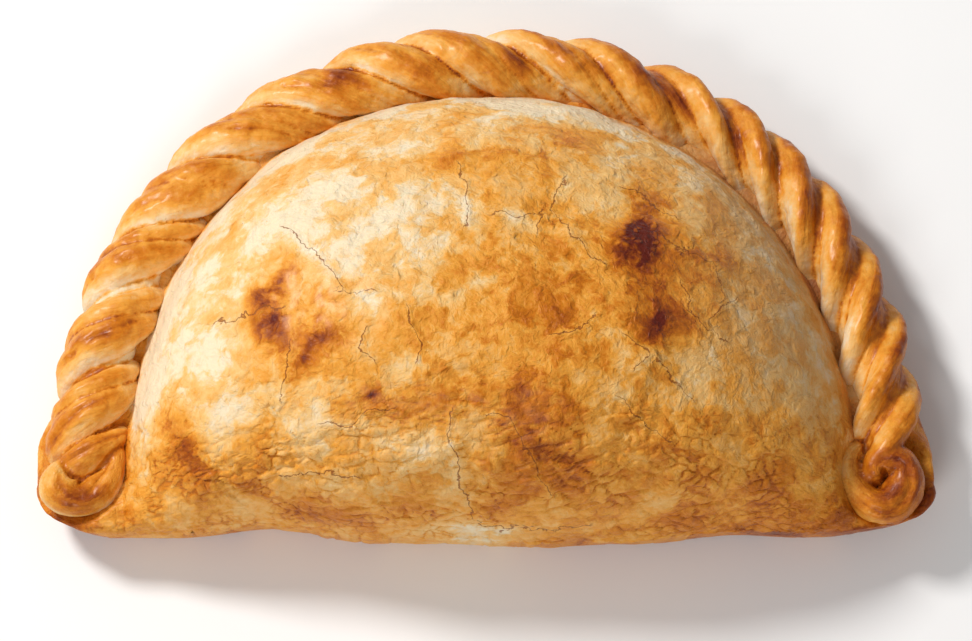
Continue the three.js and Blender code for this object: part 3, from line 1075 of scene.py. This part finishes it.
def wind_core(rolls):
    def at(u):
        middle, _ = rim_frame(u * RIM_LENGTH)
        return middle, np.tile((0.0, 0.0, 1.0), (len(u), 1))

    rolls.wind(CORE, at, lambda u: (CORE_RADIUS, CORE_RADIUS))


def wind_curl(rolls, side, out, back, radius, turn, tightening, thick_start, thick_end):
    """The rope's end, wound inwards at a front corner."""

    def at(u):
        angle = np.radians(CURL_START + turn * u)
        winding = mixed(radius, 0.5, np.maximum(u, 0) ** tightening) * (1 + 0.06 * np.sin(3 * angle))
        x = side * (out + winding * np.cos(angle))
        y = back + winding * np.sin(angle)
        return np.stack([x, y, CURL_HEIGHT + u], axis=-1), np.tile((0.0, 0.0, 1.0), (len(u), 1))

    def section(u):
        thickness = mixed(thick_start, thick_end, np.maximum(u, 0) ** tightening)
        return thickness * (1 + 0.12 * np.sin(19 * u)), thickness

    rolls.wind(CURL, at, section)


def wind_all(rolls):
    hand = hand_of(FOLD_SEED)
    lip_hand = hand_of(LIP_SEED)
    wind_core(rolls)
    distance = FIRST_FOLD
    for i, gap in enumerate((*FOLD_GAPS, LAST_GAP)):
        is_split = i in SPLIT_FOLDS
        tuck = FULL_TUCK if distance > FULL_TUCK_FROM else UNDER_TUCK
        wind_fold(rolls, distance, gap, SPLIT_FOLD if is_split else WHOLE_FOLD, hand)
        if i < len(FOLD_GAPS):
            wind_fold(rolls, distance, gap, tuck, hand)
        if is_split:
            wind_fold(rolls, distance, gap, LOWER_LIP, lip_hand)
        distance += gap
    for curl in CURLS:
        wind_curl(rolls, *curl)


def join(parts, name):
    only(parts[0])
    for part in parts:
        part.select_set(True)
    bpy.ops.object.join()
    joined = bpy.context.active_object
    joined.name = name
    return joined


def round_the_rope(points):
    """For each point: distance along the rim, the turn round the rope and the distance from its middle."""
    tree = tree_of(RIM_POINTS)
    nearest = np.array([tree.find(point)[1] for point in points])
    run = RIM_RUN[nearest]
    out = np.stack([-run[:, 1], run[:, 0], 0 * run[:, 0]], axis=-1)
    offset = points - RIM_POINTS[nearest]
    outward = np.sum(offset * out, axis=1)
    return RIM_DISTANCES[nearest], np.arctan2(offset[:, 2], outward), np.hypot(offset[:, 2], outward)


def crease_folds(obj, kind, u, longitude):
    """Presses a long crease into the folds on the left and into both curls, and says where it is."""
    points = places(obj)
    drift = 0.35 * np.sin(7 * u) + 0.25 + wander(points, 6.0, 0.3)[:, 0]
    fades_to_ends = np.sin(math.pi * np.clip(u, 0, 1))
    comes_and_goes = smoothstep(wander(points, 5.0, 1.0)[:, 1], -0.35, 0.25)
    line = np.exp(-(((longitude - drift) / 0.17) ** 2)) * fades_to_ends * comes_and_goes
    on_fold = (kind == FOLD) * smoothstep(-points[:, 0], -5, 25)
    line = evened(obj, line * np.maximum(on_fold, kind == CURL), 2)
    move(obj, points - normals(obj) * (CREASE_DEPTH * line)[:, None])
    return line


def browning_and_shade_left(crest, groove, hollow_shade, creased):
    """On the left the folds are baked on their crests and along their creases, with painted shade in their
    hollows and, in part, in their grooves.
    """
    return 0.10 + 0.46 * crest + 0.10 * groove + 0.42 * hollow_shade * (1 - 0.5 * creased) + 0.12 * creased


def browning_and_shade_right(shaded_side, outer, groove, hollow_shade, between):
    """On the right they are baked on their outer sides; their sides away from the light and their hollows
    get painted shade, and the valleys between them are darker, partly baked and partly painted shade.
    """
    browning_and_shade = 0.18 + 0.34 * shaded_side * (0.3 + 0.7 * outer) + 0.30 * outer + 0.36 * hollow_shade
    return browning_and_shade + 0.40 * groove * outer + 0.44 * between * (0.4 + 0.6 * outer)


def brown_and_shade_rope(obj, kind, u, longitude, creased, turn):
    """Works out how far each part of the rope is baked, with painted shade on the folds' sides away from
    the light, in their hollows and, in part, in their valleys and grooves, and where a curl meets a fold.
    """
    points = places(obj)
    plane = seen(points) + wander(points, 4.0, 1.2)[:, :2]
    # darker in the grooves between the folds: partly deeper browning, partly painted shade
    groove = smoothstep(-ridges(obj, 90), 0.05, 0.7)
    # painted shade: the rope is darker in its small hollows
    hollow_shade = smoothstep(-ridges(obj, 12), 0.02, 0.16)
    on_crest = np.maximum(np.cos(longitude), 0) * np.sin(math.pi * u)
    crest = evened(obj, np.where(kind == TUCK, 0, on_crest), 3)
    # painted shade on the side of each fold that faces away from the light
    shaded_side = evened(obj, smoothstep(-np.sin(longitude), -0.9, 0.0) * (kind == FOLD), 4)
    # darker in the tucks between the folds: partly deeper browning, partly painted shade
    between = evened(obj, (kind == TUCK) * 1.0, 4)
    right = smoothstep(points[:, 0], -5, 40)
    inner = smoothstep(turn, 2.0, 2.9)
    outer = smoothstep(-turn, -2.3, -1.0)
    low = smoothstep(-points[:, 2], -4, 0)
    corner = smoothstep(-points[:, 1], -8, 0)
    on_curl = evened(obj, (kind == CURL) * 1.0, 2)
    meeting = smoothstep(on_curl * (1 - on_curl), 0.0, 0.05)
    left_way = browning_and_shade_left(crest, groove, hollow_shade, creased)
    right_way = browning_and_shade_right(shaded_side, outer, groove, hollow_shade, between)
    browning_and_shade = mixed(left_way, right_way, right) - 0.16 * inner * (0.4 + 0.6 * right) + 0.10 * corner
    browning_and_shade += evened(obj, (kind == CURL) * (mixed(0.03, 0.24, right) + 0.05 * creased), 3)
    browning_and_shade += 0.16 * low + 0.14 * meeting
    toasted = spots(plane, BURNT_TIPS) + 0.4 * spots(plane, SCORCHES)
    store(obj, "browning_and_shade", np.minimum(browning_and_shade, DARKEST_BROWNING_AND_SHADE) + toasted)
    # painted grey shade at the inner ends of the folds on the right
    store(obj, "grey_shade", 0.25 * right * inner)
    store(obj, "grain_share", 1 - meeting)


def run_the_grain(obj, kind, u, longitude, distance, turn, radius):
    """Places for the streaks of the dough, drawn out along each fold and round each curl."""
    lean = np.arctan(mixed(*FOLD_ADVANCE, smoothstep(distance, 25, 65)) / (math.pi * ROLLED_RADIUS))
    round_rope = turn * ROLLED_RADIUS
    along = round_rope * np.cos(lean) + distance * np.sin(lean)
    across = distance * np.cos(lean) - round_rope * np.sin(lean)
    on_fold = np.stack([along * 0.25, across, radius * 0.6], axis=-1)
    on_curl = np.stack([8 * u, 3.5 * longitude, 0 * u], axis=-1)
    store(obj, "grain", np.where((kind == CURL)[:, None], on_curl, on_fold))


class EMPANADA_OT_rope(bpy.types.Operator):
    """Rolls the folds of the crimped rim and its two corner curls, and merges them into one rope"""

    bl_idname = "empanada.rope"
    bl_label = "Crimped rope"

    def execute(self, context):
        add = bpy.ops.mesh.primitive_uv_sphere_add
        ball = primitive(add, "ball_of_dough", segments=40, ring_count=64, radius=1)
        rolls = Rolls(ball)
        wind_all(rolls)
        rope = join(rolls.parts, "crimped_rope")
        bpy.data.objects.remove(ball)
        rope.data.remesh_voxel_size = ROPE_VOXEL * MM
        only(rope)
        bpy.ops.object.voxel_remesh()
        apply_modifier(rope, "SMOOTH", factor=0.5, iterations=2)
        on_roll = rolls.nearest(places(rope))
        creased = crease_folds(rope, *on_roll)
        for lumps in (ROPE_SWELLS, ROPE_LUMPS):
            add_lumps(rope, *lumps)
        move(rope, on_the_tray(places(rope)))
        distance, turn, radius = round_the_rope(places(rope))
        brown_and_shade_rope(rope, *on_roll, creased, turn)
        run_the_grain(rope, *on_roll, distance, turn, radius)
        settle(rope)
        dress(rope, rope_material())
        return {"FINISHED"}


# ---------- the studio, in metres ----------
KEY_FROM = (-0.62, 0.46, 0.78)
FILL_FROM = (-0.3, -0.8, 0.7)
LIT_PLACE = (0, 0, 0.02)
CAMERA_TARGET = (0, -0.0070, 0.014)
SENSOR_WIDTH = 36  # in millimetres, as the lens is
WHITE_ROOM = (1.0, 0.995, 0.99, 1)
ROOM_LIGHT = 0.31


def look_from(obj, target, direction, distance):
    """Puts a lamp or camera this way and this far from its target, turned to it."""
    direction = Vector(direction).normalized()
    obj.location = Vector(target) + direction * distance
    obj.rotation_euler = direction.to_track_quat("Z", "Y").to_euler()


def area_light(name, direction, distance, size, watts, colour):
    light = bpy.data.lights.new(name, "AREA")
    light.shape = "DISK"
    light.size = size
    light.energy = watts
    light.color = colour
    obj = bpy.data.objects.new(name, light)
    bpy.context.collection.objects.link(obj)
    look_from(obj, LIT_PLACE, direction, distance)


class EMPANADA_OT_studio(bpy.types.Operator):
    """Sets the pale floor, the soft light from the back left and the camera above the front"""

    bl_idname = "empanada.studio"
    bl_label = "Floor, light and camera"

    def execute(self, context):
        sizes = context.scene.empanada_sizes
        floor = primitive(bpy.ops.mesh.primitive_plane_add, "studio_floor", size=sizes.floor_width)
        floor.data.materials.append(floor_material())
        area_light("Key", KEY_FROM, distance=0.9, size=0.20, watts=6.6, colour=(1.0, 0.985, 0.96))
        area_light("Fill", FILL_FROM, distance=1.2, size=0.5, watts=4.4, colour=(1.0, 0.99, 0.98))
        world = bpy.data.worlds.new("Soft room")
        context.scene.world = world
        world.use_nodes = True
        background = world.node_tree.nodes["Background"]
        background.inputs["Color"].default_value = WHITE_ROOM
        background.inputs["Strength"].default_value = ROOM_LIGHT
        context.scene.view_settings.view_transform = "Standard"
        self.place_camera(context, sizes)
        return {"FINISHED"}

    def place_camera(self, context, sizes):
        data = bpy.data.cameras.new("Camera")
        data.sensor_width = SENSOR_WIDTH
        data.lens = SENSOR_WIDTH * sizes.camera_distance / sizes.view_width
        data.clip_start = 0.01
        camera = bpy.data.objects.new("Camera", data)
        context.collection.objects.link(camera)
        context.scene.camera = camera
        direction = (0, -math.cos(sizes.camera_tilt), math.sin(sizes.camera_tilt))
        look_from(camera, CAMERA_TARGET, direction, sizes.camera_distance)


class EMPANADA_PT_panel(bpy.types.Panel):
    bl_idname = "EMPANADA_PT_panel"
    bl_label = "Empanada"
    bl_space_type = "VIEW_3D"
    bl_region_type = "UI"
    bl_category = "Empanada"

    def draw(self, context):
        for group in (context.scene.empanada_sizes, context.scene.empanada_colours):
            for name in group.__annotations__:
                self.layout.prop(group, name)
        for operator in OPERATORS:
            self.layout.operator(operator.bl_idname)


OPERATORS = (EMPANADA_OT_pocket, EMPANADA_OT_rope, EMPANADA_OT_studio)
CLASSES = (EmpanadaSizes, EmpanadaColours, *OPERATORS, EMPANADA_PT_panel)


def register():
    for cls in CLASSES:
        bpy.utils.register_class(cls)
    bpy.types.Scene.empanada_sizes = bpy.props.PointerProperty(type=EmpanadaSizes)
    bpy.types.Scene.empanada_colours = bpy.props.PointerProperty(type=EmpanadaColours)


def unregister():
    del bpy.types.Scene.empanada_colours
    del bpy.types.Scene.empanada_sizes
    for cls in reversed(CLASSES):
        bpy.utils.unregister_class(cls)


def main():
    register()
    bpy.ops.empanada.pocket()
    bpy.ops.empanada.rope()
    bpy.ops.empanada.studio()


if __name__ == "__main__":
    main()
